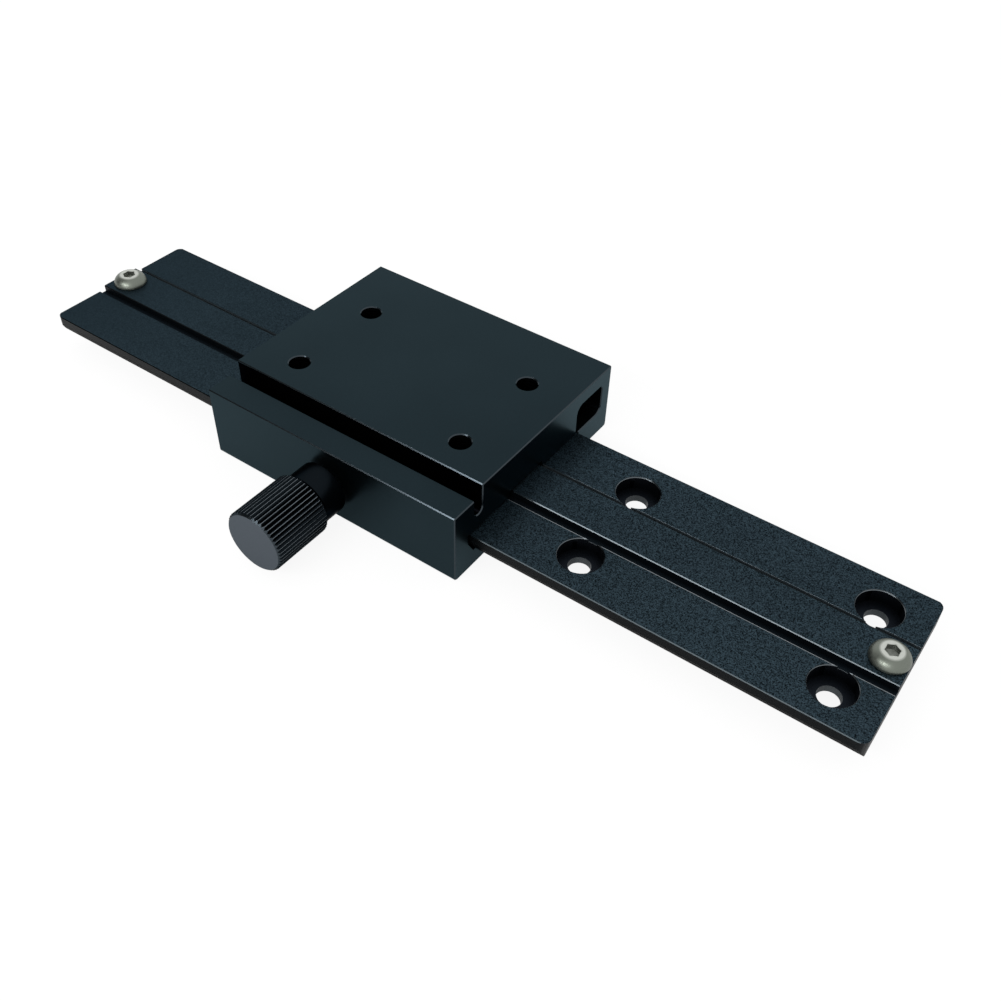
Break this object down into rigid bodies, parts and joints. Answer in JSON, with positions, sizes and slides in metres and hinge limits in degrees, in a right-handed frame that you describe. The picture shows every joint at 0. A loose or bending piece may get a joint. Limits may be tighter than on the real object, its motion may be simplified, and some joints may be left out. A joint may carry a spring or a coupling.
{
  "type": "z-axis lift bracket",
  "caption": "Flat dovetail rail with a sliding mounting plate that wraps it, end stop screws and a knurled clamp thumbscrew, for setting the height of a tool head.",
  "frame": {"origin": "centre of the rail's four mounting holes, on its flat mounting face", "axes": "+X along the rail towards its screw-down end, +Y across it away from the thumbscrew, +Z out of the rail's top face towards the slide's plate; in use +X or -X points up"},
  "size_m": [0.2, 0.0758, 0.0192],
  "materials": {
    "rail_black_anodised": "fine blasted, black anodised",
    "slide_black_anodised": "satin black anodised",
    "knob_black_anodised": "straight knurled, black anodised",
    "zinc_plated_steel": "zinc plated",
    "brass": "turned",
    "stainless_steel": "bright stainless steel"
  },
  "bodies": {
    "rail": {"guide_rail": "rail_black_anodised", "stop_screw_free_end": "stainless_steel", "stop_screw_mounted_end": "stainless_steel"},
    "slide": {"slide_body": "slide_black_anodised"},
    "pad": {"pressure_pad": "brass"},
    "thumbscrew": {"thumbscrew_stud": "zinc_plated_steel", "knurled_knob": "knob_black_anodised"}
  },
  "joints": [
    {"name": "slide_travel", "type": "slide", "parent": "rail", "child": "slide", "axis": [1, 0, 0], "range_m": [-0.0486, 0.0726]},
    {"name": "pad_travel", "type": "slide", "parent": "slide", "child": "pad", "axis": [0, 1, 0], "range_m": [-0.002, 0.0001]},
    {"name": "thumbscrew_turn", "type": "hinge", "parent": "pad", "child": "thumbscrew", "pos_m": [-0.077, -0.0212, 0.0039], "axis": [0, 1, 0], "range_deg": [-900, 45]}
  ],
  "couplings": [
    {"joint": "thumbscrew_turn", "follows": "pad_travel", "rad_per_m": 7853.9}
  ]
}
